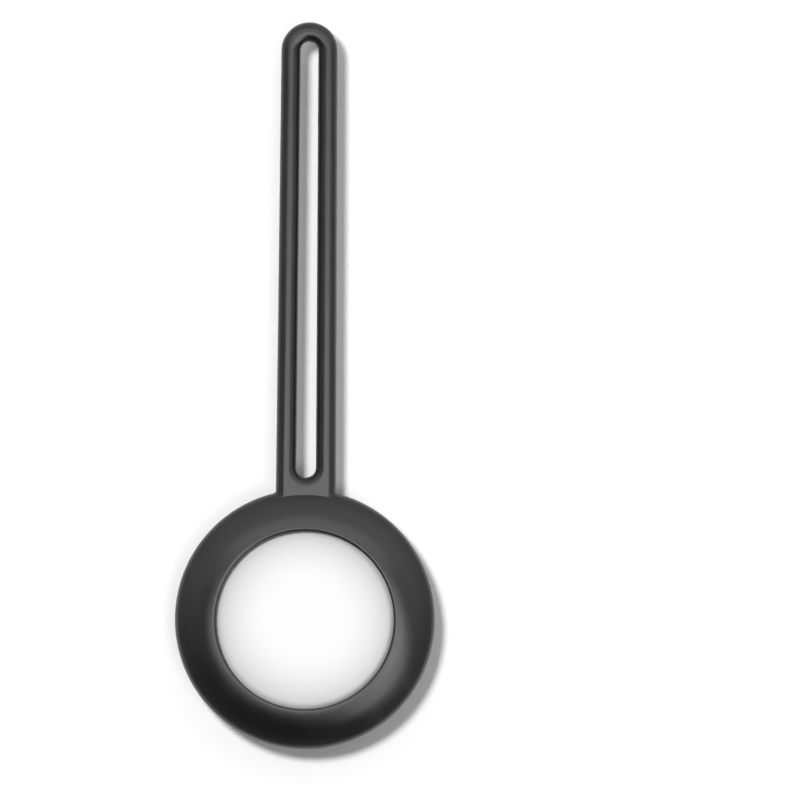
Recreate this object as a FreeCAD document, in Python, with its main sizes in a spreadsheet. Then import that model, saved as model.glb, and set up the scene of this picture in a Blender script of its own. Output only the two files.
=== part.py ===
"""Silicone loop holder with a coin tracker in its pocket, as a parametric document.

The holder lies on its back: +Z is the front that shows the tracker, +Y runs along the strap, and the origin
is where the pocket's axis meets the flat disc that the holder rests on. Sizes are millimetres and degrees.
"""
import FreeCAD, Part
import math
import os
import re
import Sketcher

# Driving sizes, each with what it measures.
SIZES = {
    # Silicone pocket
    "ring_wall": (5.05, "width of the ring outside the tag"),
    "back_wall": (0.85, "silicone under the tag"),
    "seat_clearance": (0.1, "play between tag and pocket"),
    "lip_overlap": (1.55, "reach of the front lip over the tag"),
    "lip_stand": (0.05, "height of the lip above the dome"),
    "lip_round": (0.35, "rounding of the window's edge"),
    "rim_radius": (1.9, "rounding of the outer rim"),
    "rim_turn": (52, "angle that the rim's rounding turns each way"),
    "shoulder_radius": (14.5, "arc from the rim to the front and to the back"),
    "rest_diameter": (16.0, "flat disc on the back"),
    "crown_rise": (0.25, "rise of the gentle crown round the flat disc"),
    # Loop strap
    "plane_shift": (0.1, "strap's middle above half the thickness"),
    "strap_length": (75.6, "rim of the ring to the tip of the loop"),
    "strap_tip_width": (9.06, "strap width at the tip"),
    "strap_neck_width": (9.7, "strap width at the ring"),
    "slot_tip_width": (2.92, "slot width at the tip"),
    "slot_neck_width": (3.24, "slot width at the ring"),
    "tip_band": (3.1, "silicone beyond the slot at the tip"),
    "neck_web": (1.95, "silicone between the ring and the slot"),
    "strap_thickness": (3.2, "thickness of the strap"),
    "strap_round": (1.3, "rounding of the strap's edges"),
    "round_limit": (0.45, "largest rounding as a share of the silicone that it rounds"),
    # Coin cell
    "cell_diameter": (20.0, "coin cell"),
    "cell_height": (3.2, "coin cell"),
    "can_sheet": (0.25, "sheet of the cell's can"),
    "crimp_reach": (0.9, "reach of the can's crimp"),
    "cap_stand": (0.15, "height of the cap above the crimp"),
    "cell_gap": (0.05, "play between the cell's pieces"),
    "gasket_width": (0.55, "gasket between can and cap"),
    # Battery cover and its bayonet
    "cover_steel": (0.3, "steel disc"),
    "cover_round": (0.12, "rounding of the disc's edge"),
    "cover_gap": (0.15, "play round the disc, ring and lugs"),
    "foam_thickness": (0.09, "pad under the cell"),
    "foam_play": (0.02, "play between pad and cell"),
    "foam_margin": (0.4, "pad's edge inside the cell's edge"),
    "cell_room": (0.45, "room between cell and bayonet ring"),
    "bayonet_band": (1.95, "width of the bayonet ring"),
    "tab_depth": (0.35, "reach of the tabs inside the disc's recess"),
    "tab_thickness": (0.3, "thickness of the tabs"),
    "tab_lift": (0.2, "tabs above the disc's inner face"),
    "groove_depth": (0.4, "groove for the lugs outside the recess"),
    "lug_thickness": (0.6, "thickness of the lugs"),
    "lug_play": (0.05, "play above and below the lugs"),
    "lug_angle": (20, "angle that a lug and a tab span"),
    "twist_angle": (25, "turn of the cover from locked to open"),
    "stop_angle": (4, "angle that a stop rib spans"),
    "stop_play": (1.5, "angle between a lug and its stop"),
    "seal_height": (0.37, "face seal"),
    "seal_gap": (0.1, "play between the seal and the turning ring"),
    "seal_seat": (0.03, "play between the seal and its seat"),
    # White tag case
    "back_ring": (0.25, "flat white ring round the steel disc"),
    "ring_step": (0.15, "white ring below the steel face"),
    "foot_radius": (2.8, "rounding of the case's back edge"),
    "edge_radius": (3.0, "rounding of the case's front edge"),
    "edge_run": (2.6, "width of that rounding"),
    "dome_drop": (0.9, "fall of the dome to the rounding"),
    "cover_wall": (0.9, "wall of the white cover"),
    "glue_gap": (0.3, "glue between cover and chassis"),
    "glue_height": (0.8, "height of the glue ring"),
    "glue_play": (0.02, "play at the glue ring"),
    "well_gap": (0.25, "room between cell and battery well"),
    "divider": (0.4, "floor between the well and the board"),
    "contact_room": (0.29, "room for the contact over the cell"),
    "rim_band": (1.0, "width of the rim round the board"),
    "rim_height": (0.3, "height of that rim"),
    # Board, antennas and shield
    "board_gap": (0.05, "bond under the board"),
    "board_edge": (0.1, "play round the board"),
    "board_thickness": (0.6, "circuit board"),
    "board_notch": (0.5, "radius of the board's edge notches"),
    "component_room": (1.25, "board to the dome's inner edge"),
    "carrier_band": (1.6, "width of the antenna carrier"),
    "carrier_overhang": (0.4, "carrier beyond the board's edge"),
    "carrier_height": (0.55, "antenna carrier"),
    "trace_margin": (0.3, "antenna inside the carrier's edges"),
    "trace_thickness": (0.1, "antenna metal"),
    "trace_angle": (70, "angle that an antenna spans"),
    "shield_width": (9.0, "shield can across"),
    "shield_inset": (1.03, "shield can outside the board's middle hole"),
    "shield_margin": (0.18, "play between the can's corners and the antenna carrier"),
    "shield_air": (0.25, "room above the shield can"),
    "shield_sheet": (0.15, "sheet of the shield can"),
    "radio_chip_length": (3.4, "radio chip along the shield can"),
    "chip_room": (0.45, "room beside and between the shielded chips"),
    "chip_air": (0.25, "room above the shielded chips"),
    # Speaker
    "yoke_height": (1.4, "steel cup"),
    "yoke_wall": (0.5, "wall and floor of the cup"),
    "yoke_gap": (0.3, "room between the cup and the board"),
    "magnet_diameter": (7.2, "speaker magnet"),
    "magnet_height": (0.85, "speaker magnet"),
    "magnet_bond": (0.03, "bond under the magnet"),
    "coil_gap": (0.3, "room each side of the voice coil"),
    "coil_wall": (0.6, "thickness of the voice coil"),
    "coil_height": (1.3, "voice coil"),
    "former_height": (0.3, "ring that holds the coil"),
    "former_reach": (0.4, "ring outside the coil"),
    "former_bond": (0.03, "bond under the dome"),
    # Contacts
    "spring_sheet": (0.12, "contact metal"),
    "spring_play": (0.05, "play round the contacts"),
    "negative_width": (2.4, "middle contact"),
    "negative_reach": (7.2, "middle contact's leg from the axis"),
    "positive_width": (1.8, "side contacts"),
    "positive_drop": (1.6, "side contacts above the cell's base"),
    "slit_play": (0.15, "room round a contact's leg in the divider"),
    # Small parts on the board
    "capacitor_length": (1.0, "capacitor along the board's edge"),
    "capacitor_width": (0.5, "capacitor across"),
    "capacitor_height": (0.45, "capacitor"),
    "capacitor_margin": (0.85, "capacitors inside the carrier"),
}

# Open chips on the board: length, width and height.
CHIPS = {
    "memory_chip": (3.0, 2.4, 0.6),
    "motion_sensor": (2.0, 2.0, 0.8),
    "audio_amplifier": (1.8, 1.8, 0.5),
    "power_regulator": (2.2, 1.8, 0.6),
    "clock_crystal": (2.0, 1.6, 0.5),
}

# Angles at which these chips stand round the board.
CHIP_ANGLES = {
    "memory_chip": 150,
    "motion_sensor": 35,
    "audio_amplifier": 65,
    "power_regulator": 100,
    "clock_crystal": 190,
}

# Counts
LUG_COUNT = 3
SIDE_CONTACT_COUNT = 2
ANTENNA_COUNT = 3
CAPACITOR_COUNT = 10
CAPACITOR_SWEEP = 180
NOTCH_COUNT = 4

# Marks an arc of an outline whose centre lies on the upright axis, such as a dome's.
ON_AXIS = "on axis"

# Sizes that follow from the others, from the coin cell outwards and from the back to the front.
DERIVED = {
    # Radii of the tag
    "cell_radius": "cell_diameter / 2",
    "well_radius": "cell_radius + well_gap",
    "bayonet_inside": "cell_radius + cell_room",
    "bayonet_outside": "bayonet_inside + bayonet_band",
    "tab_inside": "bayonet_outside + cover_gap",
    "recess_radius": "tab_inside + tab_depth",
    "disc_radius": "recess_radius - cover_gap",
    "groove_radius": "recess_radius + groove_depth",
    "lug_radius": "groove_radius - cover_gap",
    "foot_inside": "recess_radius + back_ring",
    "tag_radius": "foot_inside + foot_radius",
    "dome_reach": "tag_radius - edge_run",
    "spigot_radius": "tag_radius - cover_wall - glue_gap",
    "board_radius": "spigot_radius - rim_band - board_edge",
    "carrier_outside": "board_radius + carrier_overhang",
    "carrier_inside": "carrier_outside - carrier_band",
    # Heights of the tag
    "tag_back": "back_wall + seat_clearance",
    "cover_inside": "tag_back + cover_steel",
    "ring_face": "tag_back + ring_step",
    "tab_bottom": "cover_inside + tab_lift",
    "tab_top": "tab_bottom + tab_thickness",
    "lug_bottom": "tab_top + lug_play",
    "lug_top": "lug_bottom + lug_thickness",
    "bayonet_top": "lug_top + lug_play",
    "seal_bottom": "bayonet_top + seal_gap",
    "seal_top": "seal_bottom + seal_height",
    "shoulder_face": "seal_top + seal_seat",
    "cell_base": "cover_inside + foam_thickness + foam_play",
    "cell_top": "cell_base + cell_height",
    "divider_bottom": "cell_top + contact_room",
    "divider_top": "divider_bottom + divider",
    "board_bottom": "divider_top + board_gap",
    "board_top": "board_bottom + board_thickness",
    "dome_inside": "board_top + component_room + dome_drop",
    "tag_top": "dome_inside + cover_wall",
    "dome_foot": "tag_top - dome_drop",
    "edge_drop": "sqrt(edge_radius ^ 2 - (edge_radius - edge_run) ^ 2)",
    "girth_top": "dome_foot - edge_drop",
    "parting_line": "ring_face + foot_radius",
    # Pocket
    "ring_radius": "tag_radius + ring_wall",
    "window_radius": "tag_radius - lip_overlap",
    "lip_top": "tag_top + lip_stand",
    "strap_plane": "lip_top / 2 + plane_shift",
    "rim_centre": "ring_radius - rim_radius",
    "rim_edge": "rim_centre + rim_radius * cos(rim_turn)",
    "rim_half": "rim_radius * sin(rim_turn)",
    "cavity_radius": "tag_radius + seat_clearance",
    "cavity_edge": "edge_radius + seat_clearance",
    "cavity_foot": "parting_line - back_wall",
    "rest_radius": "rest_diameter / 2",
    "crown_reach": "cavity_radius - cavity_foot",
    "crown_run": "crown_reach - rest_radius",
    "crown_arc": "(crown_run ^ 2 + crown_rise ^ 2) / (2 * crown_rise)",
    "edge_centre": "tag_radius - edge_radius",
    "lip_under": "girth_top + sqrt(cavity_edge ^ 2 - (window_radius - edge_centre) ^ 2)",
    # Strap
    "strap_root": "ring_radius - ring_wall / 2",
    "loop_tip": "ring_radius + strap_length",
    "tip_shoulder": "loop_tip - strap_tip_width / 2",
    "slot_top": "loop_tip - tip_band",
    "slot_top_turn": "slot_top - slot_tip_width / 2",
    "slot_foot": "ring_radius + neck_web",
    "neck_end": "slot_foot + slot_neck_width / 2",
    "strap_bottom": "strap_plane - strap_thickness / 2",
    "tip_rail": "(strap_tip_width - slot_tip_width) / 2",
    "neck_rail": "(strap_neck_width - slot_neck_width) / 2",
    "edge_round": "min(strap_round; round_limit * min(tip_rail; neck_rail; tip_band; strap_thickness))",
    # Speaker and board
    "magnet_radius": "magnet_diameter / 2",
    "coil_inside": "magnet_radius + coil_gap",
    "coil_outside": "coil_inside + coil_wall",
    "yoke_radius": "coil_outside + coil_gap + yoke_wall",
    "yoke_top": "board_bottom + yoke_height",
    "yoke_floor": "board_bottom + yoke_wall",
    "magnet_bottom": "yoke_floor + magnet_bond",
    "board_hole": "yoke_radius + yoke_gap",
    "chip_ring": "(board_hole + carrier_inside) / 2",
    "shield_near": "board_hole + shield_inset",
    "shield_far": "sqrt(carrier_inside ^ 2 - (shield_width / 2) ^ 2) - shield_margin",
    "shield_top": "dome_inside - dome_drop - shield_air",
    "shielded_room": "shield_width - 2 * shield_sheet - 3 * chip_room",
    "shielded_width": "shield_far - shield_near - 2 * shield_sheet - 2 * chip_room",
    "shielded_height": "shield_top - board_top - shield_sheet - chip_air",
    "former_outside": "coil_outside + former_reach",
    "former_top": "dome_inside - dome_drop * (former_outside / dome_reach) ^ 2 - former_bond",
    "former_bottom": "former_top - former_height",
    "negative_bottom": "cell_top + spring_play",
    "positive_inside": "cell_radius + spring_play",
    "positive_outside": "positive_inside + spring_sheet",
    "contact_top": "board_bottom - board_gap / 2",
    "capacitor_ring": "carrier_inside - capacitor_margin",
}

doc = FreeCAD.newDocument("TagHolder")
sheet = doc.addObject("Spreadsheet::Sheet", "Sizes")
nodes = []


def fill_sheet():
    """Write every size to the sheet under its alias: driving sizes first, then the derived ones."""
    rows = [(alias, str(value), note) for alias, (value, note) in SIZES.items()]
    for chip, (length, width, height) in CHIPS.items():
        rows.append((chip + "_length", str(length), "chip"))
        rows.append((chip + "_width", str(width), "chip"))
        rows.append((chip + "_height", str(height), "chip"))
    rows += [(alias, "=" + formula, "derived") for alias, formula in DERIVED.items()]
    for row, (alias, content, note) in enumerate(rows, start=1):
        sheet.set(f"A{row}", alias)
        sheet.set(f"B{row}", content)
        sheet.set(f"C{row}", note)
        sheet.setAlias(f"B{row}", alias)
    doc.recompute()
    return {alias for alias, _, _ in rows}


ALIASES = fill_sheet()


def bound(formula):
    """The formula with each alias written as a reference to the sheet."""
    def refer(match):
        word = match.group()
        return "Sizes." + word if word in ALIASES else word

    return re.sub(r"[a-z_]+", refer, formula)


def number(formula):
    """The formula's present value."""
    return float(sheet.evalExpression(bound(formula)))


def new_body(name):
    """An empty body whose label is the name of its piece."""
    body = doc.addObject("PartDesign::Body", name)
    body.Label = name
    return body


def new_sketch(body, name, role, lift="0"):
    """A sketch on one of the body's own origin planes, lifted along the plane's normal."""
    plane = next(p for p in body.Origin.OriginFeatures if p.Role == role)
    sketch = body.newObject("Sketcher::SketchObject", name)
    sketch.AttachmentSupport = (plane, [""])
    sketch.MapMode = "FlatFace"
    if lift != "0":
        sketch.setExpression("AttachmentOffset.Base.z", bound(lift))
    return sketch


def hold(sketch, edge, point, direction, size):
    """Tie one end of an edge to the sketch's origin along X or Y."""
    if size == "0":
        axis = -2 if direction == "X" else -1
        sketch.addConstraint(Sketcher.Constraint("PointOnObject", edge, point, axis))
        return
    tie = Sketcher.Constraint("Distance" + direction, -1, 1, edge, point, number(size))
    index = sketch.addConstraint(tie)
    sketch.setExpression(f"Constraints[{index}]", bound(size))


def arc_between(begin, end, radius, clockwise):
    """The shorter arc of that radius from begin to end."""
    chord = end - begin
    left = FreeCAD.Vector(-chord.y, chord.x, 0).normalize()
    rise = math.sqrt(max(radius ** 2 - (chord.Length / 2) ** 2, 0))
    centre = (begin + end) / 2 + left * (-rise if clockwise else rise)
    first, last = (end, begin) if clockwise else (begin, end)
    start = math.atan2(first.y - centre.y, first.x - centre.x)
    finish = math.atan2(last.y - centre.y, last.x - centre.x)
    if finish < start:
        finish += 2 * math.pi
    return Part.ArcOfCircle(Part.Circle(centre, FreeCAD.Vector(0, 0, 1), radius), start, finish)


def dome_radius(begin, end):
    """Radius of the arc through two points whose centre lies on the upright axis."""
    centre = (end.dot(end) - begin.dot(begin)) / (2 * (end.y - begin.y))
    return math.hypot(begin.x, begin.y - centre)


def outline(sketch, corners):
    """Draw one closed loop of lines and arcs, with every corner bound to the sheet.

    A corner is (across, up), or (across, up, radius) where an arc of that radius leads on to the next
    corner. ON_AXIS in place of the radius centres the arc on the upright axis, and a minus sign before
    either turns the arc clockwise.
    """
    spots = [FreeCAD.Vector(number(corner[0]), number(corner[1]), 0) for corner in corners]
    ends = []
    for corner, begin, end in zip(corners, spots, spots[1:] + spots[:1]):
        if len(corner) == 2:
            ends.append((sketch.addGeometry(Part.LineSegment(begin, end), False), 1, 2))
            continue
        clockwise = corner[2].startswith("-")
        radius = corner[2].lstrip("-")
        size = dome_radius(begin, end) if radius == ON_AXIS else number(radius)
        edge = sketch.addGeometry(arc_between(begin, end, size, clockwise), False)
        ends.append((edge, 2, 1) if clockwise else (edge, 1, 2))
    for (edge, _, finish), (following, start, _) in zip(ends, ends[1:] + ends[:1]):
        sketch.addConstraint(Sketcher.Constraint("Coincident", edge, finish, following, start))
    for corner, (edge, start, _) in zip(corners, ends):
        hold(sketch, edge, start, "X", corner[0])
        hold(sketch, edge, start, "Y", corner[1])
        radius = corner[2].lstrip("-") if len(corner) == 3 else None
        if radius == ON_AXIS:
            sketch.addConstraint(Sketcher.Constraint("PointOnObject", edge, 3, -2))
        elif radius:
            index = sketch.addConstraint(Sketcher.Constraint("Radius", edge, number(radius)))
            sketch.setExpression(f"Constraints[{index}]", bound(radius))


def circle(sketch, across, up, radius):
    """Draw one circle bound to the sheet."""
    centre = FreeCAD.Vector(number(across), number(up), 0)
    edge = sketch.addGeometry(Part.Circle(centre, FreeCAD.Vector(0, 0, 1), number(radius)), False)
    hold(sketch, edge, 3, "X", across)
    hold(sketch, edge, 3, "Y", up)
    index = sketch.addConstraint(Sketcher.Constraint("Radius", edge, number(radius)))
    sketch.setExpression(f"Constraints[{index}]", bound(radius))


def sector(inside, outside, start, finish):
    """Corners of a ring's sector between two radii and two angles."""
    return [
        (f"({inside}) * cos({start})", f"({inside}) * sin({start})"),
        (f"({outside}) * cos({start})", f"({outside}) * sin({start})", outside),
        (f"({outside}) * cos({finish})", f"({outside}) * sin({finish})"),
        (f"({inside}) * cos({finish})", f"({inside}) * sin({finish})", "-" + inside),
    ]


def rectangle(left, right, low, high):
    """Corners of a rectangle."""
    return [(left, low), (right, low), (right, high), (left, high)]


def turn(body, corners):
    """Add the solid that the corners, radius and height, sweep round the pocket's axis."""
    sketch = new_sketch(body, body.Name + "_section", "XZ_Plane")
    outline(sketch, corners)
    solid = body.newObject("PartDesign::Revolution", body.Name + "_turned")
    solid.Profile = sketch
    solid.ReferenceAxis = (sketch, ["V_Axis"])
    solid.Angle = 360
    return solid


def pad(body, sketch, height):
    """Raise a sketch by a height."""
    solid = body.newObject("PartDesign::Pad", sketch.Name + "_pad")
    solid.Profile = sketch
    solid.setExpression("Length", bound(height))
    return solid


def pocket(body, sketch, depth):
    """Cut a sketch along its normal by a depth, and make sure that it took something away."""
    doc.recompute()
    before = body.Shape.Volume
    cut = body.newObject("PartDesign::Pocket", sketch.Name + "_cut")
    cut.Profile = sketch
    cut.Reversed = True
    cut.setExpression("Length", bound(depth))
    doc.recompute()
    if body.Shape.Volume >= before:
        raise RuntimeError(sketch.Name + " cuts nothing")
    return cut


def around(body, sketch, feature, count, angle=360):
    """Repeat a feature round the pocket's axis."""
    pattern = body.newObject("PartDesign::PolarPattern", feature.Name + "_round")
    pattern.Originals = [feature]
    pattern.Axis = (sketch, ["N_Axis"])
    pattern.Angle = angle
    pattern.Occurrences = count
    body.Tip = pattern
    return pattern


def turned_piece(name, corners):
    """A piece that is one turned solid."""
    body = new_body(name)
    turn(body, corners)
    nodes.append(body)
    return body


def ring_piece(name, inside, outside, bottom, top):
    """A piece that is one plain turned ring."""
    return turned_piece(name, rectangle(inside, outside, bottom, top))


def make_pocket():
    """Pocket round the tag's own outline, parted at the strap's plane: closed back, and front ring with lip."""
    back = turned_piece("pocket_back", [
        ("0", "0"),
        ("rest_radius", "0", "crown_arc"),
        ("crown_reach", "crown_rise", "shoulder_radius"),
        ("rim_edge", "strap_plane - rim_half", "rim_radius"),
        ("ring_radius", "strap_plane"),
        ("cavity_radius", "strap_plane"),
        ("cavity_radius", "parting_line", "-cavity_foot"),
        ("crown_reach", "back_wall"),
        ("0", "back_wall"),
    ])
    front = turned_piece("pocket_front", [
        ("ring_radius", "strap_plane", "rim_radius"),
        ("rim_edge", "strap_plane + rim_half", "shoulder_radius"),
        ("window_radius + lip_round", "lip_top", "lip_round"),
        ("window_radius", "lip_top - lip_round"),
        ("window_radius", "lip_under", "-cavity_edge"),
        ("cavity_radius", "girth_top"),
        ("cavity_radius", "strap_plane"),
    ])
    return back, front


def make_strap(pocket_back, pocket_front):
    """Tapered loop with rounded edges, parted across the slot into the neck that flexes and the loop."""
    body = new_body("strap_moulding")
    sketch = new_sketch(body, "strap_plan", "XY_Plane", "strap_bottom")
    outline(sketch, [
        ("-strap_neck_width / 2", "strap_root"),
        ("strap_neck_width / 2", "strap_root"),
        ("strap_tip_width / 2", "tip_shoulder", "strap_tip_width / 2"),
        ("0", "loop_tip", "strap_tip_width / 2"),
        ("-strap_tip_width / 2", "tip_shoulder"),
    ])
    outline(sketch, [
        ("slot_neck_width / 2", "neck_end"),
        ("slot_tip_width / 2", "slot_top_turn", "slot_tip_width / 2"),
        ("0", "slot_top", "slot_tip_width / 2"),
        ("-slot_tip_width / 2", "slot_top_turn"),
        ("-slot_neck_width / 2", "neck_end", "slot_neck_width / 2"),
        ("0", "slot_foot", "slot_neck_width / 2"),
    ])
    plate = pad(body, sketch, "strap_thickness")
    doc.recompute()
    root = number("strap_root")
    flat = 1e-6
    edges = [
        f"Edge{i}"
        for i, edge in enumerate(plate.Shape.Edges, start=1)
        if edge.BoundBox.ZLength < flat and edge.BoundBox.YMax > root + flat
    ]
    rounding = body.newObject("PartDesign::Fillet", "strap_edges")
    rounding.Base = (plate, edges)
    rounding.setExpression("Radius", bound("edge_round"))

    below = doc.addObject("Part::Box", "neck_space")
    below.setExpression("Length", bound("2 * strap_neck_width"))
    below.setExpression("Width", bound("neck_end"))
    below.setExpression("Height", bound("lip_top"))
    below.setExpression("Placement.Base.x", bound("-strap_neck_width"))
    neck_blank = doc.addObject("Part::Common", "neck_blank")
    neck_blank.Base = body
    neck_blank.Tool = below
    neck_half = doc.addObject("Part::Cut", "neck_half")
    neck_half.Base = neck_blank
    neck_half.Tool = pocket_back
    neck = doc.addObject("Part::Cut", "strap_neck")
    neck.Label = "strap_neck"
    neck.Base = neck_half
    neck.Tool = pocket_front
    loop = doc.addObject("Part::Cut", "strap_loop")
    loop.Label = "strap_loop"
    loop.Base = body
    loop.Tool = below
    nodes.extend([neck, loop])


def make_front_cover():
    """White domed cover with its rounded edge and straight skirt."""
    turned_piece("front_cover", [
        ("tag_radius - cover_wall", "parting_line"),
        ("tag_radius", "parting_line"),
        ("tag_radius", "girth_top", "edge_radius"),
        ("dome_reach", "dome_foot", ON_AXIS),
        ("0", "tag_top"),
        ("0", "dome_inside", "-" + ON_AXIS),
        ("dome_reach", "dome_foot - cover_wall", "-(edge_radius - cover_wall)"),
        ("tag_radius - cover_wall", "girth_top"),
    ])


def make_chassis():
    """White lower shell: battery well, divider, rim for the board, bayonet tabs with stops, contact slits."""
    body = new_body("rear_chassis")
    turn(body, [
        ("0", "divider_bottom"),
        ("well_radius", "divider_bottom"),
        ("well_radius", "shoulder_face"),
        ("groove_radius", "shoulder_face"),
        ("groove_radius", "tab_bottom"),
        ("recess_radius", "tab_bottom"),
        ("recess_radius", "ring_face"),
        ("foot_inside", "ring_face", "foot_radius"),
        ("tag_radius", "parting_line"),
        ("spigot_radius", "parting_line"),
        ("spigot_radius", "divider_top + rim_height"),
        ("board_radius + board_edge", "divider_top + rim_height"),
        ("board_radius + board_edge", "divider_top"),
        ("0", "divider_top"),
    ])
    wall = "groove_radius + groove_depth / 2"
    tab = new_sketch(body, "tab_plan", "XY_Plane", "tab_bottom")
    outline(tab, sector("tab_inside", wall, "-lug_angle / 2", "lug_angle / 2"))
    around(body, tab, pad(body, tab, "tab_thickness"), LUG_COUNT)
    stops = {
        "lock_stop": "-lug_angle / 2 - stop_play - stop_angle",
        "open_stop": "lug_angle / 2 + twist_angle + stop_play",
    }
    for name, start in stops.items():
        stop = new_sketch(body, name, "XY_Plane", "tab_bottom")
        outline(stop, sector("tab_inside", wall, start, f"{start} + stop_angle"))
        around(body, stop, pad(body, stop, "lug_top - tab_bottom"), LUG_COUNT)
    slits = new_sketch(body, "contact_slits", "XY_Plane", "divider_bottom")
    outline(slits, rectangle("negative_reach - spring_sheet - slit_play", "negative_reach + slit_play",
                             "-negative_width / 2 - slit_play", "negative_width / 2 + slit_play"))
    low = "-positive_width / 2 - slit_play"
    high = "positive_width / 2 + slit_play"
    outline(slits, rectangle("positive_inside - slit_play", "positive_outside + slit_play", low, high))
    outline(slits, rectangle("-positive_outside - slit_play", "-positive_inside + slit_play", low, high))
    pocket(body, slits, "divider")
    nodes.append(body)


def make_battery_cover():
    """Steel disc, the plastic ring with three lugs that is bonded in it, its foam pad and the face seal."""
    turned_piece("battery_cover", [
        ("0", "tag_back"),
        ("disc_radius - cover_round", "tag_back", "cover_round"),
        ("disc_radius", "tag_back + cover_round"),
        ("disc_radius", "cover_inside"),
        ("0", "cover_inside"),
    ])
    ring = new_body("bayonet_ring")
    turn(ring, rectangle("bayonet_inside", "bayonet_outside", "cover_inside", "bayonet_top"))
    lug = new_sketch(ring, "lug_plan", "XY_Plane", "lug_bottom")
    middle = "bayonet_outside - bayonet_band / 2"
    outline(lug, sector(middle, "lug_radius", "-lug_angle / 2", "lug_angle / 2"))
    around(ring, lug, pad(ring, lug, "lug_thickness"), LUG_COUNT)
    nodes.append(ring)
    foam_edge = "cell_radius - foam_margin"
    ring_piece("cover_foam", "0", foam_edge, "cover_inside", "cover_inside + foam_thickness")
    ring_piece("cover_seal", "bayonet_inside", "groove_radius - cover_gap", "seal_bottom", "seal_top")


def make_cell():
    """Coin cell: crimped can, gasket and cap."""
    crimp = "cell_base + cell_height - cap_stand"
    turned_piece("cell_can", [
        ("0", "cell_base"),
        ("cell_radius", "cell_base"),
        ("cell_radius", crimp),
        ("cell_radius - crimp_reach", crimp),
        ("cell_radius - crimp_reach", crimp + " - can_sheet"),
        ("cell_radius - can_sheet", crimp + " - can_sheet"),
        ("cell_radius - can_sheet", "cell_base + can_sheet"),
        ("0", "cell_base + can_sheet"),
    ])
    low = "cell_base + can_sheet + cell_gap"
    high = crimp + " - can_sheet - cell_gap"
    gasket_outside = "cell_radius - can_sheet - cell_gap"
    gasket_inside = gasket_outside + " - gasket_width"
    ring_piece("cell_gasket", gasket_inside, gasket_outside, low, high)
    cap_edge = gasket_inside + " - cell_gap"
    turned_piece("cell_cap", [
        ("0", low),
        (cap_edge, low),
        (cap_edge, high + " - cap_stand"),
        ("cell_radius - crimp_reach - cap_stand - cell_gap", "cell_top"),
        ("0", "cell_top"),
    ])


def make_contacts():
    """Bent contact over the middle of the cell, and two upright ones at its side."""
    negative = new_body("negative_contact")
    side = new_sketch(negative, "negative_side", "XZ_Plane", "-negative_width / 2")
    outline(side, [
        ("-negative_width / 2", "negative_bottom"),
        ("negative_reach", "negative_bottom"),
        ("negative_reach", "contact_top"),
        ("negative_reach - spring_sheet", "contact_top"),
        ("negative_reach - spring_sheet", "negative_bottom + spring_sheet"),
        ("-negative_width / 2", "negative_bottom + spring_sheet"),
    ])
    pad(negative, side, "negative_width")
    nodes.append(negative)
    positive = new_body("positive_contacts")
    foot = new_sketch(positive, "positive_plan", "XY_Plane", "cell_base + positive_drop")
    outline(foot, rectangle("positive_inside", "positive_outside",
                            "-positive_width / 2", "positive_width / 2"))
    leaf = pad(positive, foot, "contact_top - cell_base - positive_drop")
    around(positive, foot, leaf, SIDE_CONTACT_COUNT)
    nodes.append(positive)


def make_board():
    """Ring-shaped circuit board with notches in its edge, and the capacitors along its upper half."""
    board = new_body("logic_board")
    plan = new_sketch(board, "board_plan", "XY_Plane", "board_bottom")
    circle(plan, "0", "0", "board_radius")
    circle(plan, "0", "0", "board_hole")
    pad(board, plan, "board_thickness")
    notch = new_sketch(board, "board_notches", "XY_Plane", "board_bottom")
    circle(notch, "board_radius", "0", "board_notch")
    around(board, notch, pocket(board, notch, "board_thickness"), NOTCH_COUNT)
    nodes.append(board)
    group = new_body("board_capacitors")
    plan = new_sketch(group, "capacitor_plan", "XY_Plane", "board_top")
    outline(plan, rectangle("capacitor_ring - capacitor_width / 2", "capacitor_ring + capacitor_width / 2",
                            "-capacitor_length / 2", "capacitor_length / 2"))
    block = pad(group, plan, "capacitor_height")
    around(group, plan, block, CAPACITOR_COUNT, CAPACITOR_SWEEP)
    nodes.append(group)


def chip_block(name, left, low, length, width, height):
    """A chip that stands on the board with its lower left corner at that place."""
    block = doc.addObject("Part::Box", name)
    block.Label = name
    block.setExpression("Length", bound(length))
    block.setExpression("Width", bound(width))
    block.setExpression("Height", bound(height))
    block.setExpression("Placement.Base.x", bound(left))
    block.setExpression("Placement.Base.y", bound(low))
    block.setExpression("Placement.Base.z", bound("board_top"))
    nodes.append(block)


def make_chips():
    """Chips on the board: two side by side under the shield can, the others round the ring."""
    left = "-shield_width / 2 + shield_sheet + chip_room"
    low = "-shield_far + shield_sheet + chip_room"
    chip_block("radio_chip", left, low, "radio_chip_length", "shielded_width", "shielded_height")
    left += " + radio_chip_length + chip_room"
    rest = "shielded_room - radio_chip_length"
    chip_block("ranging_chip", left, low, rest, "shielded_width", "shielded_height")
    for name, angle in CHIP_ANGLES.items():
        left = f"chip_ring * cos({angle}) - {name}_length / 2"
        low = f"chip_ring * sin({angle}) - {name}_width / 2"
        chip_block(name, left, low, name + "_length", name + "_width", name + "_height")


def make_shield():
    """Open-bottomed metal can over the two radio chips."""
    body = new_body("shield_can")
    low = "-shield_far"
    high = "-shield_near"
    plan = new_sketch(body, "shield_plan", "XY_Plane", "board_top")
    outline(plan, rectangle("-shield_width / 2", "shield_width / 2", low, high))
    pad(body, plan, "shield_top - board_top")
    inside = new_sketch(body, "shield_inside", "XY_Plane", "board_top")
    outline(inside, rectangle("-shield_width / 2 + shield_sheet", "shield_width / 2 - shield_sheet",
                              low + " + shield_sheet", high + " - shield_sheet"))
    pocket(body, inside, "shield_top - board_top - shield_sheet")
    nodes.append(body)


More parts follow.
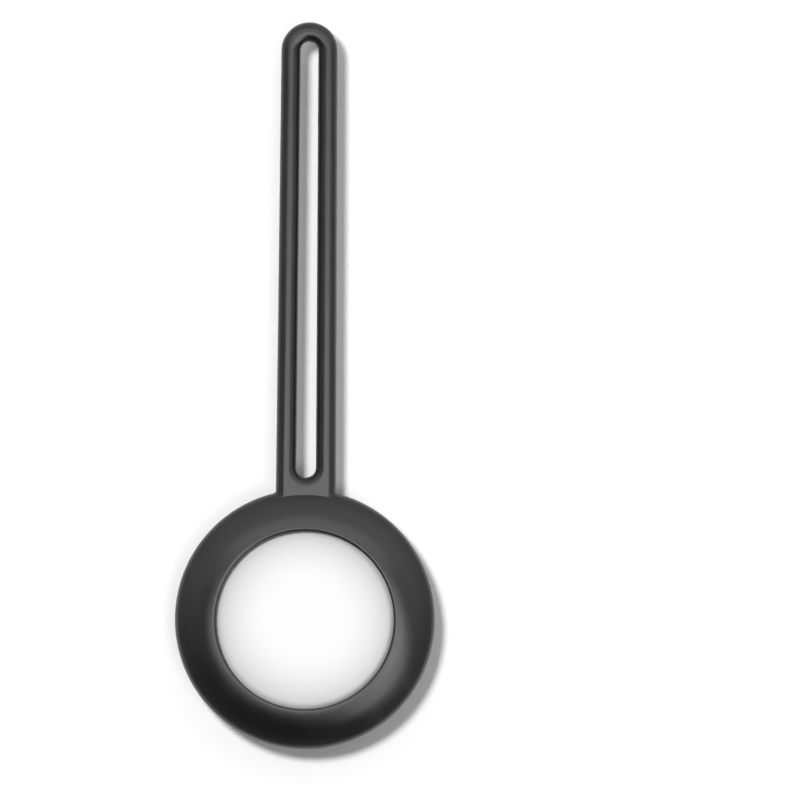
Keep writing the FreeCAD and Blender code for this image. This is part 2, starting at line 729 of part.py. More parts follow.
def make_antennas():
    """Plastic ring over the board's edge, with three metal antennas on it."""
    top = "board_top + carrier_height"
    ring_piece("antenna_carrier", "carrier_inside", "carrier_outside", "board_top", top)
    traces = new_body("antenna_traces")
    plan = new_sketch(traces, "trace_plan", "XY_Plane", top)
    outline(plan, sector("(carrier_inside + trace_margin)", "(carrier_outside - trace_margin)",
                         "-trace_angle / 2", "trace_angle / 2"))
    around(traces, plan, pad(traces, plan, "trace_thickness"), ANTENNA_COUNT)
    nodes.append(traces)


def make_speaker():
    """Steel cup and magnet on the divider, with the voice coil on a ring under the dome."""
    turned_piece("speaker_yoke", [
        ("0", "board_bottom"),
        ("yoke_radius", "board_bottom"),
        ("yoke_radius", "yoke_top"),
        ("yoke_radius - yoke_wall", "yoke_top"),
        ("yoke_radius - yoke_wall", "yoke_floor"),
        ("0", "yoke_floor"),
    ])
    ring_piece("speaker_magnet", "0", "magnet_radius", "magnet_bottom", "magnet_bottom + magnet_height")
    ring_piece("voice_coil", "coil_inside", "coil_outside", "former_bottom - coil_height", "former_bottom")
    ring_piece("coil_former", "coil_inside", "former_outside", "former_bottom", "former_top")


def make_adhesive():
    """Glue ring between the white cover's skirt and the chassis."""
    ring_piece("cover_adhesive", "spigot_radius + glue_play", "spigot_radius + glue_gap - glue_play",
               "parting_line + glue_play", "parting_line + glue_play + glue_height")


def check_and_write():
    """Stop on any failed object or bad shape, then write one STEP file for each piece."""
    doc.recompute()
    for item in doc.Objects:
        if "Invalid" in item.State or "Error" in item.State:
            raise RuntimeError(f"{item.Name} failed: {item.State}")
    for node in nodes:
        if node.Shape.isNull() or not node.Shape.isValid() or not node.Shape.Solids:
            raise RuntimeError(node.Label + " has no valid solid")
    os.makedirs("parts", exist_ok=True)
    for node in nodes:
        node.Shape.exportStep(f"parts/{node.Label}.step")
        box = node.Shape.BoundBox
        print(f"{node.Label}: {len(node.Shape.Solids)} solid(s), {node.Shape.Volume:.2f} mm3, "
              f"z {box.ZMin:.2f} to {box.ZMax:.2f}")


make_strap(*make_pocket())
make_front_cover()
make_chassis()
make_battery_cover()
make_cell()
make_contacts()
make_board()
make_chips()
make_shield()
make_antennas()
make_speaker()
make_adhesive()
check_and_write()
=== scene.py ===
"""Looks of a silicone loop holder with a coin tracker: its visible pieces, finishes and studio.

The file is laid out as an add-on and is run as a script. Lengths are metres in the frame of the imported
model: +Z is the front, +Y runs along the strap, and the origin lies under the middle of the pocket.
"""

import math

import bmesh
import bpy
from bpy.props import FloatProperty, FloatVectorProperty, PointerProperty
from mathutils import Matrix, Vector


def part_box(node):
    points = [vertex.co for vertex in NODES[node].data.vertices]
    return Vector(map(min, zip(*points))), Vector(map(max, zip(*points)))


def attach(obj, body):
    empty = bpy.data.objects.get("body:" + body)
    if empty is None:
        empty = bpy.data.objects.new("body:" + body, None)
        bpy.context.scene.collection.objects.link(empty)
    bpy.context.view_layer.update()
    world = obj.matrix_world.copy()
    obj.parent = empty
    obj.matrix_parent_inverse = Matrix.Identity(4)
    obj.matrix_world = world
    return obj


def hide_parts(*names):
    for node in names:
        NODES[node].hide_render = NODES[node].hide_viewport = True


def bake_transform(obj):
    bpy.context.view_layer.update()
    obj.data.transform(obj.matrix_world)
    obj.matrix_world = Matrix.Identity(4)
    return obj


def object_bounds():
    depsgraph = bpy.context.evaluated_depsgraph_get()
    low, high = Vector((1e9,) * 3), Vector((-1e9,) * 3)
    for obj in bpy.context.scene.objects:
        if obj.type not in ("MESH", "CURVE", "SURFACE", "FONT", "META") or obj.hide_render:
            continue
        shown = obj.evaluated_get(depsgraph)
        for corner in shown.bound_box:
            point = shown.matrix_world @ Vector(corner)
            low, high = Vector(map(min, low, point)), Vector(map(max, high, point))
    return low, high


bl_info = {
    "name": "Tag holder",
    "version": (1, 0, 0),
    "blender": (4, 5, 0),
    "location": "View3D > Sidebar > Tag holder",
    "description": "Builds the silicone, the tracker's case, the finishes and the studio of a tag holder",
    "category": "Object",
}

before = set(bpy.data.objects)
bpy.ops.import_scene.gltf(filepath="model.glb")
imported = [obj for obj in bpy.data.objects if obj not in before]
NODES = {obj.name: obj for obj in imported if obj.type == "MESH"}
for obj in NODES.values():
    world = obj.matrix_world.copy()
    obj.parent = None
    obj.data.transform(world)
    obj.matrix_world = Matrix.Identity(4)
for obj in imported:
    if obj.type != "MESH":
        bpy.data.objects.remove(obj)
CAD_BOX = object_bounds()

MM = 0.001
POCKET_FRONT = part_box("pocket_front")
STRAP_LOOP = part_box("strap_loop")
FRONT_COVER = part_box("front_cover")
STEEL_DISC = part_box("battery_cover")
STRAP_PLANE = POCKET_FRONT[0].z
RING_RADIUS = POCKET_FRONT[1].x
TAG_RADIUS = FRONT_COVER[1].x
PARTING_LINE = FRONT_COVER[0].z
CHIPS = ("radio_chip", "ranging_chip", "memory_chip",
         "motion_sensor", "audio_amplifier", "power_regulator")

# How finely forms are divided, and what counts as one point or as on the axis.
ROUND_STEPS = 288
RAIL_STEPS, TIP_STEPS, SIDE_STEPS, ROOT_STEPS = 120, 36, 84, 16
EDGE_STEPS, FLAT_STEPS = 14, 20
ARC_STEP = math.radians(5)
SMOOTH_ANGLE = math.radians(38)
WELD_GAP = 0.002 * MM
ON_AXIS = 1e-6 * MM

# The root fillet stops short of tangent to the rim.
FILLET_TURN = math.radians(65)

# The middle range of a noise pattern, and the scale of a wave texture whose rings are 1 apart.
NOISE_LOW, NOISE_HIGH = 0.3, 0.7
WAVE_SCALE = 2 * math.pi / 20

# Lamps: their places from the middle of the view or of the ring, and their widths and depths.
KEY_PLACE, KEY_WIDTH = Vector((-0.30, 0.30, 0.90)), 0.22
FILL_PLACE, FILL_WIDTH = Vector((0.25, -0.30, 0.95)), 0.5
TOP_PLACE, TOP_SIZE = Vector((0.068, -0.081, 0.60)), (0.834, 0.355)
SIDE_PLACE, SIDE_SIZE = Vector((0.333, -0.280, 0.413)), (0.42, 0.42)
BACK_PLACE, BACK_SIZE = Vector((0, 0.297, 0.53)), (0.90, 0.30)

# Room: the brightness of its dark wall, ceiling, skirting and right side, 1 being its bright wall.
ROOM_DARK, ROOM_CEILING, ROOM_SKIRTING, ROOM_RIGHT = 0.03, 0.15, 0.35, 1.2

# The floor reaches this far to each side, just under the part, and the camera sees this far.
FLOOR_REACH = 3.0
FLOOR_GAP = 0.02 * MM
CAMERA_REACH = 20.0


def length(name, description, default):
    """A length that a user may change, written in millimetres."""
    return FloatProperty(name=name, description=description, default=default * MM, min=0.0,
                         precision=5, subtype="DISTANCE", unit="LENGTH")


def angle(name, description, default):
    """An angle that a user may change, written in degrees."""
    return FloatProperty(name=name, description=description, default=math.radians(default),
                         subtype="ANGLE", unit="ROTATION")


def colour(name, description, default):
    """A linear colour that a user may change."""
    return FloatVectorProperty(name=name, description=description, default=default, size=3,
                               min=0.0, max=1.0, subtype="COLOR")


def share(name, description, default):
    """A number from 0 to 1."""
    return FloatProperty(name=name, description=description, default=default, min=0.0, max=1.0,
                         subtype="FACTOR")


def light(name, description, default):
    """A brightness that a user may change, 1 being white."""
    return FloatProperty(name=name, description=description, default=default, min=0.0)


class HolderSettings(bpy.types.PropertyGroup):
    """Sizes and finish of the silicone moulding."""

    window_radius: length("Window", "Radius of the front window", 14.4)
    lip_radius: length("Lip rounding", "Rounding of the lip round the window", 0.58)
    lip_turn: angle("Lip turn", "Angle that the lip's rounding turns down to the window", 48)
    lip_lean: angle("Lip lean", "Slope at which the front runs into the lip's rounding", 10)
    lip_undercut: length("Lip undercut", "How far the wall under the lip stands back", 0.12)
    rim_radius: length("Rim rounding", "Rounding of the outer rim", 1.9)
    front_turn: angle("Front turn", "Angle that the rim's rounding turns to the front", 48)
    front_slope: angle("Front slope", "Slope where the front's outer arc meets its inner one", 32)
    front_inner: length("Inner front", "Radius of the front's arc next to the lip", 8.50)
    front_outer: length("Outer front", "Radius of the front's arc next to the rim", 17.31)
    back_turn: angle("Back turn", "Angle that the rim's rounding turns to the back", 52)
    back_radius: length("Back", "Arc from the rim to the back", 14.5)
    rest_radius: length("Rest disc", "Radius of the flat disc on the back", 8.0)
    crown_rise: length("Crown", "Rise of the gentle crown round the flat disc", 0.25)
    back_wall: length("Back wall", "Silicone under the tag", 0.85)
    seat_play: length("Seat play", "Play between the tag and the pocket", 0.1)
    neck_width: length("Neck width", "Strap width where it leaves the ring", 9.7)
    tip_width: length("Tip width", "Strap width at its tip", 9.06)
    slot_neck_width: length("Slot at the neck", "Width of the slot near the ring", 3.24)
    slot_tip_width: length("Slot at the tip", "Width of the slot near the tip", 2.92)
    tip_band: length("Tip band", "Silicone beyond the slot", 3.1)
    edge_round: length("Strap edges", "Rounding of the strap's edges", 1.5)
    edge_width: length("Edges at the neck", "Width of that rounding near the ring", 1.25)
    edge_crease: angle("Neck crease", "Angle at which it meets the flat near the ring", 18)
    crease_reach: share("Crease reach", "Share of the rails over which that crease runs out", 0.6)
    root_fillet: length("Root fillet", "Fillet where the strap meets the ring", 0.4)
    flash_height: length("Mould line", "Height of the mould's parting line", 0.03)
    flash_width: length("Mould line width", "Width of the mould's parting line", 0.16)
    colour: colour("Silicone", "Colour of the silicone", (0.0045, 0.0045, 0.0047))
    roughness: share("Roughness", "Roughness of the moulded skin", 0.33)


class TagSettings(bpy.types.PropertyGroup):
    """Sizes and finishes of the tracker's case."""

    edge_radius: length("Front edge", "Rounding of the white cover's edge", 3.0)
    edge_run: length("Edge width", "Width of that rounding", 2.6)
    dome_drop: length("Dome", "Fall of the dome to the rounding", 0.9)
    cover_wall: length("Wall", "Wall of the white cover", 0.9)
    disc_round: length("Disc edge", "Rounding of the steel disc's edge", 0.12)
    turned_pitch: length("Turned lines", "Pitch of the fine lines turned in the steel", 0.09)
    white: colour("White", "Colour of the white plastic", (0.765, 0.76, 0.765))
    # Painted shade: the white's edge is painted darker in place of the shade next to the lip. The next
    # two settings say where this painted shade begins and where it is full.
    painted_edge_shade: share("Edge tone", "Tone of the white's edge, where light leaks away under the lip", 0.60)
    painted_shade_start: share("Tone start", "Share of the tag's radius at which the white begins to darken", 0.35)
    painted_shade_stop: share("Tone stop", "Share of the tag's radius at which the edge tone is reached", 0.9)
    steel: colour("Steel", "Colour of the polished steel", (0.60, 0.60, 0.61))


class StudioSettings(bpy.types.PropertyGroup):
    """Camera and light."""

    view_width: length("View width", "Width of the view at the strap's plane", 129.45)
    view_across: length("View across", "Middle of the view to the right of the pocket", 15.4)
    view_up: length("View up", "Middle of the view above the pocket", 35.5)
    view_roll: angle("Roll", "Turn of the camera about its own axis", 0.48)
    lens: FloatProperty(name="Lens", description="Focal length of the camera in millimetres",
                        default=500.0, unit="CAMERA")
    key_level: light("Key", "Light of the key lamp on the floor, 1 being white", 0.715)
    fill_level: light("Fill", "Light of the fill lamp on the floor, 1 being white", 0.18)
    room_level: light("Room", "Brightness of the room beyond the strap's tip", 1.35)
    room_share: share("Room light", "Share of the room's brightness that lights matt surfaces", 0.5)
    top_sheen: light("Top sheen", "Brightness of the softbox overhead", 4.6)
    side_sheen: light("Side sheen", "Brightness of the softbox at the side", 3.6)
    back_sheen: light("Back sheen", "Brightness of the softbox beyond the tip", 2.5)
    floor_colour: colour("Floor", "Colour of the floor", (0.995, 0.995, 0.995))


def heading(turn):
    """Unit vector at that turn from the first axis towards the second."""
    return Vector((math.cos(turn), math.sin(turn)))


def leaning(tilt):
    """Unit vector that leans by that tilt from the second axis towards the first."""
    return Vector((math.sin(tilt), math.cos(tilt)))


def spaced(start, end, count):
    """Evenly spaced numbers from start up to, but without, end."""
    return [start + (end - start) * i / count for i in range(count)]


def arc_points(begin, end, radius):
    """Points after begin on the shorter arc to end; a negative radius turns clockwise."""
    chord = end - begin
    half = chord.length / 2
    rise = math.sqrt(max(radius ** 2 - half ** 2, 0.0))
    left = Vector((-chord.y, chord.x)).normalized()
    centre = (begin + end) / 2 + left * math.copysign(rise, radius)
    sweep = 2 * math.asin(min(half / abs(radius), 1.0))
    steps = max(1, math.ceil(sweep / ARC_STEP))
    spoke = begin - centre
    turns = [math.copysign(sweep * i / steps, radius) for i in range(1, steps + 1)]
    return [centre + Matrix.Rotation(turn, 2) @ spoke for turn in turns]


def traced(corners):
    """Points along an outline of lines and arcs.

    A corner's third number, where it has one, is the radius of the arc after it.
    """
    points = [Vector(corners[0][:2])]
    for corner, following in zip(corners, corners[1:]):
        end = Vector(following[:2])
        if len(corner) == 3:
            points += arc_points(points[-1], end, corner[2])
        else:
            points.append(end)
    return points


def new_piece(name, bm):
    """An object from a closed bmesh, smooth except at sharp edges."""
    bmesh.ops.recalc_face_normals(bm, faces=bm.faces)
    if any(len(edge.link_faces) != 2 for edge in bm.edges):
        raise RuntimeError(name + " isn't closed")
    mesh = bpy.data.meshes.new(name)
    bm.to_mesh(mesh)
    bm.free()
    mesh.polygons.foreach_set("use_smooth", [True] * len(mesh.polygons))
    mesh.set_sharp_from_angle(angle=SMOOTH_ANGLE)
    piece = bpy.data.objects.new(name, mesh)
    bpy.context.scene.collection.objects.link(piece)
    return piece


def turned_piece(name, profile):
    """A solid turned round the pocket's axis by a profile that starts and ends on it, or closes."""
    bm = bmesh.new()
    rings = []
    for point in profile:
        steps = 1 if point.x < ON_AXIS else ROUND_STEPS
        turns = [2 * math.pi * i / ROUND_STEPS for i in range(steps)]
        rings.append([
            bm.verts.new((point.x * math.cos(turn), point.x * math.sin(turn), point.y)) for turn in turns
        ])
    following = rings[1:] + rings[:1] if len(rings[0]) > 1 else rings[1:]
    for low, high in zip(rings, following):
        for i in range(ROUND_STEPS):
            j = (i + 1) % ROUND_STEPS
            corners = [low[i % len(low)], low[j % len(low)], high[j % len(high)], high[i % len(high)]]
            bm.faces.new(list(dict.fromkeys(corners)))
    return new_piece(name, bm)


def cover_girth(tag):
    """Height where the white cover's edge rounding starts, and the radius of that rounding's centre."""
    rise = math.sqrt(tag.edge_radius ** 2 - (tag.edge_radius - tag.edge_run) ** 2)
    return FRONT_COVER[1].z - tag.dome_drop - rise, TAG_RADIUS - tag.edge_radius


def pocket_profile(holder, tag):
    """Radius and height round the pocket: back, rim with its mould line, lip, window and cavity."""
    rim_centre = RING_RADIUS - holder.rim_radius
    rim = Vector((rim_centre, STRAP_PLANE))
    rim_back = rim + holder.rim_radius * heading(-holder.back_turn)
    rim_front = rim + holder.rim_radius * heading(holder.front_turn)
    flash = holder.flash_width / 2
    flash_foot = rim_centre + math.sqrt(holder.rim_radius ** 2 - flash ** 2)

    crest = Vector((holder.window_radius + holder.lip_radius * math.sin(holder.lip_turn),
                    POCKET_FRONT[1].z - holder.lip_radius))
    lip_front = crest + holder.lip_radius * leaning(holder.lip_lean)
    lip_inside = crest + holder.lip_radius * leaning(-holder.lip_turn)
    front_bend = lip_front + holder.front_inner * (leaning(holder.front_slope) - leaning(holder.lip_lean))

    cavity = TAG_RADIUS + holder.seat_play
    foot = PARTING_LINE - holder.back_wall
    floor_edge = cavity - foot
    crown = floor_edge - holder.rest_radius
    crown_arc = (crown ** 2 + holder.crown_rise ** 2) / (2 * holder.crown_rise)
    girth, edge_centre = cover_girth(tag)
    cavity_edge = tag.edge_radius + holder.seat_play
    lip_wall = holder.window_radius + holder.lip_undercut
    lip_under = girth + math.sqrt(cavity_edge ** 2 - (lip_wall - edge_centre) ** 2)
    return traced([
        (0, 0),
        (holder.rest_radius, 0, crown_arc),
        (floor_edge, holder.crown_rise, holder.back_radius),
        (*rim_back, holder.rim_radius),
        (flash_foot, STRAP_PLANE - flash),
        (RING_RADIUS + holder.flash_height, STRAP_PLANE),
        (flash_foot, STRAP_PLANE + flash, holder.rim_radius),
        (*rim_front, holder.front_outer),
        (*front_bend, holder.front_inner),
        (*lip_front, holder.lip_radius),
        tuple(lip_inside),
        (lip_wall, lip_under, -cavity_edge),
        (cavity, girth),
        (cavity, PARTING_LINE, -foot),
        (floor_edge, holder.back_wall),
        (0, holder.back_wall),
    ])


def strap_stations(holder):
    """Plan of the strap round its slot: outer and slot point, each with its way into the silicone."""
    tip = STRAP_LOOP[1].y
    neck_end = STRAP_LOOP[0].y
    root = RING_RADIUS - (RING_RADIUS - TAG_RADIUS) / 2
    tip_half, neck_half = holder.tip_width / 2, holder.neck_width / 2
    slot_tip, slot_neck = holder.slot_tip_width / 2, holder.slot_neck_width / 2
    shoulder = tip - tip_half
    slot_turn = tip - holder.tip_band - slot_tip
    taper = (neck_half - tip_half) / (shoulder - root)
    flat_half = neck_half - holder.edge_round

    def side(y):
        return neck_half - taper * (y - root)

    rails = []
    for t in spaced(0, 1, RAIL_STEPS):
        y = neck_end + (shoulder - neck_end) * t
        slot_y = neck_end + (slot_turn - neck_end) * t
        slot_x = slot_neck + (slot_tip - slot_neck) * t
        rails.append((Vector((side(y), y)), Vector((-1, 0)), Vector((slot_x, slot_y)), Vector((1, 0))))
    for turn in spaced(0, math.pi / 2, TIP_STEPS):
        spoke = heading(turn)
        outer = Vector((0, shoulder)) + spoke * tip_half
        slot = Vector((0, slot_turn)) + spoke * slot_tip
        rails.append((outer, -spoke, slot, spoke))
    foot = []
    for t in spaced(0, 1, ROOT_STEPS):
        spoke = heading(-math.pi / 2 + t * math.pi / 4)
        foot.append((Vector((flat_half * t, root)), Vector((0, 0)), spoke * slot_neck, spoke))
    for t in spaced(0, 1, SIDE_STEPS):
        spoke = heading(-math.pi / 4 + t * math.pi / 4)
        y = root + (neck_end - root) * t
        foot.append((Vector((side(y), y)), Vector((-1, 0)), spoke * slot_neck, spoke))
    slot_foot = Vector((0, neck_end))
    right = [(outer, way, slot_foot + slot, slot_way) for outer, way, slot, slot_way in foot] + rails
    top = (Vector((0, tip)), Vector((0, -1)), Vector((0, slot_turn + slot_tip)), Vector((0, 1)))
    flip = Matrix(((-1, 0), (0, 1)))
    left = [tuple(flip @ part for part in station) for station in reversed(right[1:])]
    return right + [top] + left


def strap_section(holder, roundness):
    """Points of a rail's section, from creased (0) to round (1).

    Each point is (boundary, inset, height, outward tilt). The boundary runs from 0 on the strap's outside
    to 1 at its slot.
    """
    half = (STRAP_LOOP[1].z - STRAP_LOOP[0].z) / 2
    wall = half - holder.edge_round
    turn = math.pi / 2 - holder.edge_crease * (1 - roundness)
    width = holder.edge_width + (holder.edge_round - holder.edge_width) * roundness
    level_radius = width / (1 - math.cos(turn))
    upright_radius = holder.edge_round / math.sin(turn)
    rise = [(0, -holder.flash_height, 0, 0), (0, 0, holder.flash_width / 2, 0)]
    for i in range(EDGE_STEPS + 1):
        tilt = turn * i / EDGE_STEPS
        inset = level_radius * (1 - math.cos(tilt))
        rise.append((0, inset, wall + upright_radius * math.sin(tilt), tilt))
    across = [(i / FLAT_STEPS, width, half, math.pi / 2) for i in range(1, FLAT_STEPS)]
    fall = [(1, inset, z, tilt) for _, inset, z, tilt in reversed(rise)]
    upper = rise + across + fall
    lower = [(boundary, inset, -z, -tilt) for boundary, inset, z, tilt in reversed(upper[1:-1])]
    return upper + lower


def fillet_swell(gap, radius):
    """How far the root fillet stands off the strap's wall at that gap from the rim."""
    reach = max(gap, 0) + radius * (1 - math.sin(FILLET_TURN))
    if reach >= radius:
        return 0.0
    return radius - math.sqrt(radius ** 2 - (radius - reach) ** 2)


def strap_piece(name, holder):
    """The loop strap as one closed ring of sections, flared a little where it runs into the rim."""
    bm = bmesh.new()
    neck_end = STRAP_LOOP[0].y
    crease_run = holder.crease_reach * (STRAP_LOOP[1].y - neck_end)
    rim_centre = RING_RADIUS - holder.rim_radius
    rows = []
    for outer, outer_way, slot, slot_way in strap_stations(holder):
        row = []
        roundness = min(max((slot.y - neck_end) / crease_run, 0), 1)
        for boundary, inset, z, tilt in strap_section(holder, roundness):
            from_edge = outer + outer_way * inset
            from_slot = slot + slot_way * inset
            plan = from_edge.lerp(from_slot, boundary)
            way = -(outer_way if boundary < 0.5 else slot_way)
            out = Vector((way.x * math.cos(tilt), way.y * math.cos(tilt), math.sin(tilt)))
            point = Vector((plan.x, plan.y, STRAP_PLANE + z))
            gap = math.hypot(math.hypot(plan.x, plan.y) - rim_centre, z) - holder.rim_radius
            swell = fillet_swell(gap, holder.root_fillet) * math.cos(tilt) ** 2
            row.append(bm.verts.new(point + out * swell))
        rows.append(row)
    for row, following in zip(rows, rows[1:] + rows[:1]):
        for i in range(len(row)):
            j = (i + 1) % len(row)
            bm.faces.new((row[i], row[j], following[j], following[i]))
    return new_piece(name, bm)


def joined(base, tool):
    """One closed skin from two pieces that run into each other."""
    union = base.modifiers.new("union", "BOOLEAN")
    union.operation = "UNION"
    union.solver = "EXACT"
    union.object = tool
    solid = base.evaluated_get(bpy.context.evaluated_depsgraph_get())
    bm = bmesh.new()
    bm.from_mesh(solid.data)
    name = base.name
    for piece in (base, tool):
        bpy.data.objects.remove(piece)
    bmesh.ops.remove_doubles(bm, verts=bm.verts, dist=WELD_GAP)
    bmesh.ops.dissolve_degenerate(bm, edges=bm.edges, dist=WELD_GAP)
    bmesh.ops.triangulate(bm, faces=[face for face in bm.faces if len(face.verts) > 4])
    return new_piece(name, bm)


def set_range(spread, start, stop, low, high):
    """Make a range node run from low at start to high at stop."""
    limits = {"From Min": start, "From Max": stop, "To Min": low, "To Max": high}
    for socket, value in limits.items():
        spread.inputs[socket].default_value = value


class Finish:
    """A procedural material: one shader, and patterns in the object's own space that vary it."""

    def __init__(self, name, roughness=0.5, metallic=0.0, ior=1.5):
        self.material = bpy.data.materials.new(name)
        self.material.use_nodes = True
        self.tree = self.material.node_tree
        self.shader = self.tree.nodes["Principled BSDF"]
        self.shader.inputs["Roughness"].default_value = roughness
        self.shader.inputs["Metallic"].default_value = metallic
        self.shader.inputs["IOR"].default_value = ior
        self.place = self.node("ShaderNodeTexCoord").outputs["Object"]

    def node(self, kind, **settings):
        """A node with its settings."""
        made = self.tree.nodes.new(kind)
        for setting, value in settings.items():
            setattr(made, setting, value)
        return made

    def link(self, source, target):
        """Join two sockets."""
        self.tree.links.new(source, target)

    def grain(self, size, detail=3.0, stretch=(1, 1, 1)):
        """Soft random pattern of about that size, from 0 to 1."""
        mapping = self.node("ShaderNodeMapping")
        mapping.inputs["Scale"].default_value = [factor / size for factor in stretch]
        noise = self.node("ShaderNodeTexNoise")
        noise.inputs["Scale"].default_value = 1.0
        noise.inputs["Detail"].default_value = detail
        self.link(self.place, mapping.inputs["Vector"])
        self.link(mapping.outputs["Vector"], noise.inputs["Vector"])
        return noise.outputs["Fac"]

    def from_axis(self):
        """Distance from the pocket's axis."""
        flat = self.node("ShaderNodeVectorMath", operation="MULTIPLY")
        flat.inputs[1].default_value = (1, 1, 0)
        distance = self.node("ShaderNodeVectorMath", operation="LENGTH")
        self.link(self.place, flat.inputs[0])
        self.link(flat.outputs["Vector"], distance.inputs[0])
        return distance.outputs["Value"]

    def eased(self, pattern, start, stop):
        """The pattern from 0 at start to 1 at stop, slow at first."""
        square = self.node("ShaderNodeMath", operation="POWER")
        square.inputs[1].default_value = 2.0
        self.link(self.ranged(pattern, 0, 1, start, stop), square.inputs[0])
        return square.outputs["Value"]

    def rings(self, pitch, wander=0.4):
        """Fine rings round the upright axis at that pitch."""
        wave = self.node("ShaderNodeTexWave", wave_type="RINGS", rings_direction="Z")
        wave.inputs["Scale"].default_value = WAVE_SCALE / pitch
        wave.inputs["Distortion"].default_value = wander
        self.link(self.place, wave.inputs["Vector"])
        return wave.outputs["Fac"]

    def cells(self, size):
        """Hard-edged cells of about that size, each with a tone of its own."""
        cells = self.node("ShaderNodeTexVoronoi", distance="CHEBYCHEV")
        cells.inputs["Scale"].default_value = 1 / size
        self.link(self.place, cells.inputs["Vector"])
        return cells.outputs["Distance"]

    def ranged(self, pattern, low, high, start=NOISE_LOW, stop=NOISE_HIGH):
        """The pattern spread from low to high."""
        spread = self.node("ShaderNodeMapRange")
        set_range(spread, start, stop, low, high)
        self.link(pattern, spread.inputs["Value"])
        return spread.outputs["Result"]

    def tint(self, pattern, low, high, start=NOISE_LOW, stop=NOISE_HIGH):
        """Colour that runs from low to high with the pattern."""
        mix = self.node("ShaderNodeMix", data_type="RGBA")
        colours = [socket for socket in mix.inputs if socket.type == "RGBA"]
        colours[0].default_value = (*low, 1)
        colours[1].default_value = (*high, 1)
        self.link(self.ranged(pattern, 0, 1, start, stop), mix.inputs["Factor"])
        result = next(socket for socket in mix.outputs if socket.type == "RGBA")
        self.link(result, self.shader.inputs["Base Color"])
        return self

    def gloss(self, pattern, low, high):
        """Roughness that runs from low to high with the pattern."""
        self.link(self.ranged(pattern, low, high), self.shader.inputs["Roughness"])
        return self

    def relief(self, pattern, depth):
        """Fine relief of that depth."""
        bump = self.node("ShaderNodeBump")
        bump.inputs["Distance"].default_value = depth
        self.link(pattern, bump.inputs["Height"])
        self.link(bump.outputs["Normal"], self.shader.inputs["Normal"])
        return self


def scaled(tone, factor):
    """A colour made darker or lighter."""
    return tuple(min(part * factor, 1.0) for part in tone)


def silicone_finish(holder):
    """Satin black silicone: a fine moulded tooth, faint clouding and a soft sheen."""
    finish = Finish("satin_silicone", holder.roughness)
    cloud = finish.grain(6 * MM)
    tooth = finish.grain(0.11 * MM, detail=2)
    finish.tint(cloud, low=scaled(holder.colour, 0.85), high=scaled(holder.colour, 1.2))
    finish.gloss(cloud, low=holder.roughness - 0.03, high=holder.roughness + 0.03)
    return finish.relief(tooth, depth=0.004 * MM).material


def white_gloss_finish(tag):
    """Smooth white plastic with the faintest orange peel, and painted shade that darkens it towards its
    edge next to the lip.
    """
    finish = Finish("polished_white_painted_shade", roughness=0.40, ior=1.49)
    peel = finish.grain(1.6 * MM, detail=1)
    # Painted shade: the white darkens with distance from the axis towards the tag's edge.
    painted_shade_mask = finish.eased(finish.from_axis(), tag.painted_shade_start * TAG_RADIUS, tag.painted_shade_stop * TAG_RADIUS)
    finish.tint(painted_shade_mask, low=tag.white, high=scaled(tag.white, tag.painted_edge_shade), start=0, stop=1)
    finish.gloss(finish.grain(3 * MM), low=0.39, high=0.41)
    return finish.relief(peel, depth=0.002 * MM).material


def white_satin_finish(tag):
    """Spark-eroded white plastic."""
    finish = Finish("satin_white", roughness=0.45, ior=1.49)
    tooth = finish.grain(0.14 * MM, detail=2)
    finish.tint(tooth, low=scaled(tag.white, 0.94), high=tag.white)
    finish.gloss(finish.grain(2 * MM), low=0.4, high=0.5)
    return finish.relief(tooth, depth=0.006 * MM).material


def turned_steel_finish(name, tone, pitch, smooth, rough):
    """Bright steel with fine turned lines and faint handling marks."""
    finish = Finish(name, smooth, metallic=1.0)
    lines = finish.rings(pitch)
    finish.tint(finish.grain(4 * MM), low=scaled(tone, 0.93), high=tone)
    finish.gloss(finish.grain(1.5 * MM), low=smooth, high=rough)
    return finish.relief(lines, depth=0.0015 * MM).material


def rolled_metal_finish(name, tone, roughness):
    """Plated sheet metal with the drawn grain of its rolling."""
    finish = Finish(name, roughness, metallic=1.0)
    grain = finish.grain(0.25 * MM, stretch=(0.05, 1, 1))
    finish.tint(grain, low=scaled(tone, 0.86), high=tone)
    finish.gloss(grain, low=roughness - 0.06, high=roughness + 0.08)
    return finish.relief(grain, depth=0.002 * MM).material


def moulded_finish(name, tone, roughness):
    """Moulded plastic, rubber or glue: a fine tooth and a little clouding."""
    finish = Finish(name, roughness)
    tooth = finish.grain(0.12 * MM, detail=2)
    finish.tint(finish.grain(1.5 * MM), low=scaled(tone, 0.82), high=scaled(tone, 1.1))
    finish.gloss(tooth, low=roughness - 0.05, high=roughness + 0.07)
    return finish.relief(tooth, depth=0.005 * MM).material


def board_finish(name, tone, copper):
    """Solder mask over etched copper, which shows through as paler cells."""
    finish = Finish(name, roughness=0.38)
    cells = finish.cells(0.7 * MM)
    finish.tint(cells, low=scaled(tone, 0.7), high=copper, start=0.36, stop=0.4)
    finish.gloss(finish.grain(0.4 * MM), low=0.32, high=0.45)
    return finish.relief(cells, depth=0.01 * MM).material


def wound_finish(name, tone):
    """Enamelled wire wound in layers."""
    finish = Finish(name, roughness=0.3, metallic=1.0)
    turns = finish.grain(0.06 * MM, detail=0, stretch=(0.02, 0.02, 1))
    finish.tint(turns, low=scaled(tone, 0.55), high=tone)
    finish.gloss(turns, low=0.25, high=0.42)
    return finish.relief(turns, depth=0.015 * MM).material


def dress(material, *nodes):
    """Give CAD nodes a finish."""
    for node in nodes:
        slots = NODES[node].data.materials
        slots.clear()
        slots.append(material)


def settle(piece, material, slot, *nodes):
    """Give a new piece its finish and hide the CAD nodes that it stands for; the slot is not used."""
    piece.data.materials.clear()
    piece.data.materials.append(material)
    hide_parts(*nodes)


